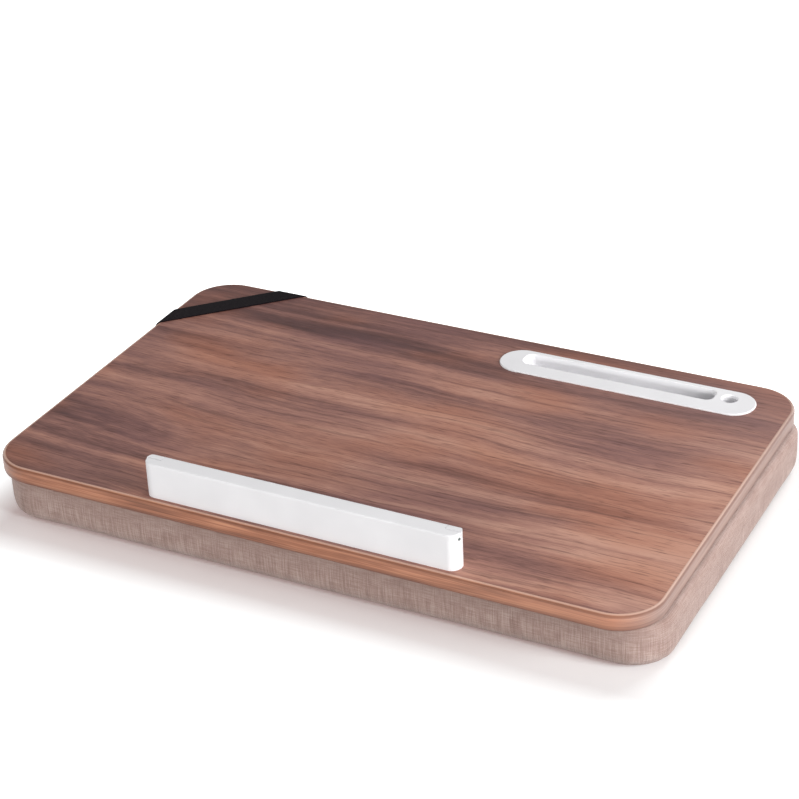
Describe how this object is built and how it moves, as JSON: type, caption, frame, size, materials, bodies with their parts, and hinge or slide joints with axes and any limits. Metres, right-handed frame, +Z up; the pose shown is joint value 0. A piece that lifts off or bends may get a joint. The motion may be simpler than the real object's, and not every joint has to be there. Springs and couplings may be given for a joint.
{
  "type": "lap desk",
  "caption": "Cushioned lap desk with a rounded wood-look top, a phone slot, a pen well, a lidded pen box that stops the laptop, and an elastic corner strap.",
  "frame": {"origin": "on the resting plane, under the middle of the board", "axes": "+X along the board's long side to the user's right, +Y away from the user, +Z up"},
  "size_m": [0.6012, 0.3777, 0.0895],
  "materials": {
    "fibreboard": "raw medium density fibreboard",
    "walnut_laminate": "satin walnut-look laminate, grain along X",
    "backing": "plain brown balancing laminate",
    "edge_band": "satin copper-brown wood-look edge band",
    "white_plastic": "satin white moulded plastic",
    "screw_steel": "zinc plated",
    "black_elastic": "woven black elastic",
    "hardboard": "raw hardboard",
    "linen": "taupe linen-look weave",
    "bottom_fabric": "dark grip-dotted cloth",
    "foam": "open cell foam",
    "zip_tape": "woven tape",
    "zip_coil": "nylon coil",
    "zip_metal": "nickel plated"
  },
  "bodies": {
    "desk": {"deck_core": "fibreboard", "walnut_top_laminate": "walnut_laminate", "backing_laminate": "backing", "edge_band": "edge_band", "phone_slot_insert": "white_plastic", "insert_screws": "screw_steel", "pen_box_body": "white_plastic", "lid_hinge_pin_left": "screw_steel", "lid_hinge_pin_right": "screw_steel", "pen_box_screws": "screw_steel", "corner_strap": "black_elastic", "strap_staples": "screw_steel", "cushion_base_panel": "hardboard", "base_panel_screws": "screw_steel", "cover_side_wall": "linen", "cover_bottom_panel": "bottom_fabric", "foam_core": "foam", "zipper_tape_upper": "zip_tape", "zipper_tape_lower": "zip_tape", "zipper_coil_upper": "zip_coil", "zipper_coil_lower": "zip_coil", "zipper_stops": "zip_metal"},
    "pen_lid": {"pen_box_lid": "white_plastic"},
    "zip_slider": {"zipper_slider": "zip_metal"},
    "zip_pull": {"zipper_pull": "zip_metal"}
  },
  "joints": [
    {"name": "pen_lid_hinge", "type": "hinge", "parent": "desk", "child": "pen_lid", "pos_m": [0, -0.169, 0.085], "axis": [-1, 0, 0], "range_deg": [0, 125]},
    {"name": "zip_slide", "type": "slide", "parent": "desk", "child": "zip_slider", "axis": [-1, 0, 0], "range_m": [0, 0.388]},
    {"name": "zip_pull_swing", "type": "hinge", "parent": "zip_slider", "child": "zip_pull", "pos_m": [0.1942, 0.18625, 0.02275], "axis": [0, 0, -1], "range_deg": [0, 165]}
  ]
}
